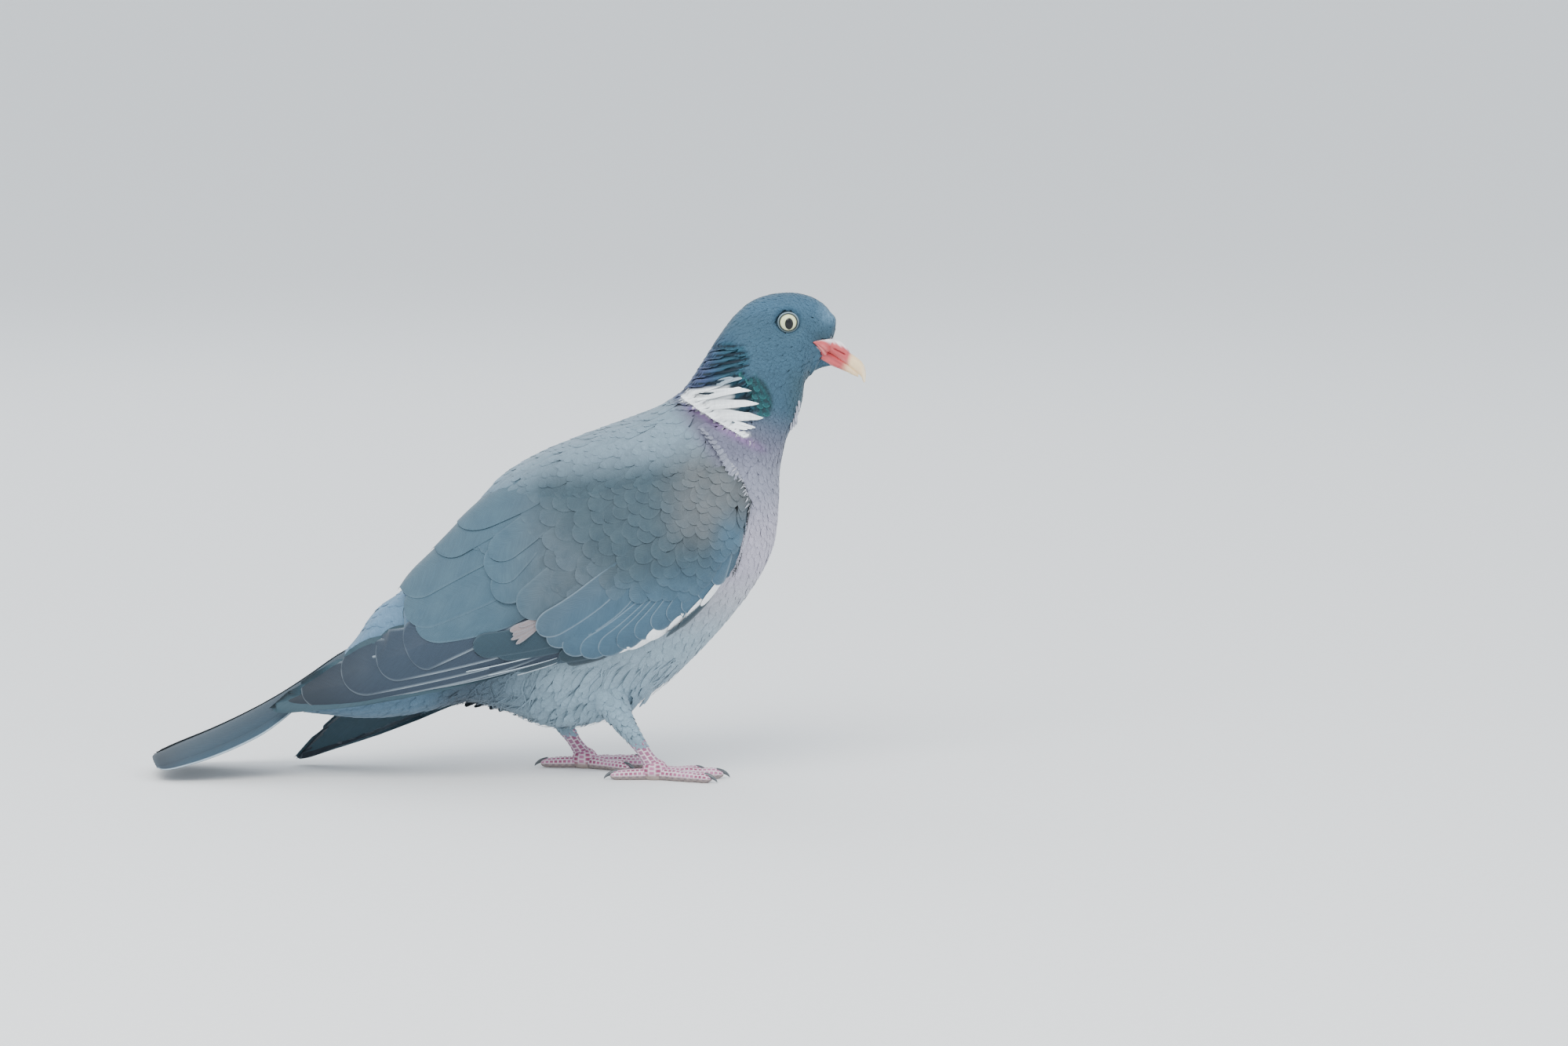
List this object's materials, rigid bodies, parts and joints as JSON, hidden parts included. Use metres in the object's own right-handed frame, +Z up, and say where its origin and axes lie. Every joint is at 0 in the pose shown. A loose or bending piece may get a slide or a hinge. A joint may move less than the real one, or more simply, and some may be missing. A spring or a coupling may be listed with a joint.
{
  "type": "wood pigeon",
  "caption": "Life-size still model of a standing wood pigeon, wings folded and one hanging lower, head level, tail resting on the floor behind the feet.",
  "frame": {"origin": "On the floor, under the middle of the whole bird's bounding box.", "axes": "+X points ahead, the way the bill points; +Y is the bird's left; +Z is up."},
  "size_m": [0.336, 0.0992, 0.2269],
  "materials": {
    "head_feathers": "short, smooth slate-blue feathering",
    "neck_feathers": "glossed purple and green, with a white patch on each side",
    "breast_feathers": "soft mauve breast over a pale grey belly",
    "rump_feathers": "plain blue-grey feathering",
    "wing_feathers": "grey-brown to blue-grey coverts, matt",
    "flight_feathers": "dark slate vanes with pale outer edges",
    "tail_feathers": "blue-grey vanes, darker at the end",
    "belly_feathers": "loose pale grey feathering",
    "bill_horn": "satin horn, cream-yellow tip on a pink base",
    "bill_red": "satin, pink-red",
    "eye": "wet, pale yellow iris round a black pupil",
    "foot_skin": "pink scales with pale seams",
    "claw": "satin dark horn"
  },
  "bodies": {
    "root": {"head": "head_feathers", "neck": "neck_feathers", "trunk": "breast_feathers", "rump": "rump_feathers", "tail": "tail_feathers", "bill_upper": "bill_horn", "bill_lower": "bill_red", "eye_left": "eye", "wing_left": "wing_feathers", "primaries_left": "flight_feathers", "thigh_left": "belly_feathers", "shank_left": "foot_skin", "foot_left": "foot_skin", "claw_inner_left": "claw", "claw_middle_left": "claw", "claw_outer_left": "claw", "claw_hind_left": "claw", "eye_right": "eye", "wing_right": "wing_feathers", "primaries_right": "flight_feathers", "thigh_right": "belly_feathers", "shank_right": "foot_skin", "foot_right": "foot_skin", "claw_inner_right": "claw", "claw_middle_right": "claw", "claw_outer_right": "claw", "claw_hind_right": "claw"}
  },
  "joints": []
}
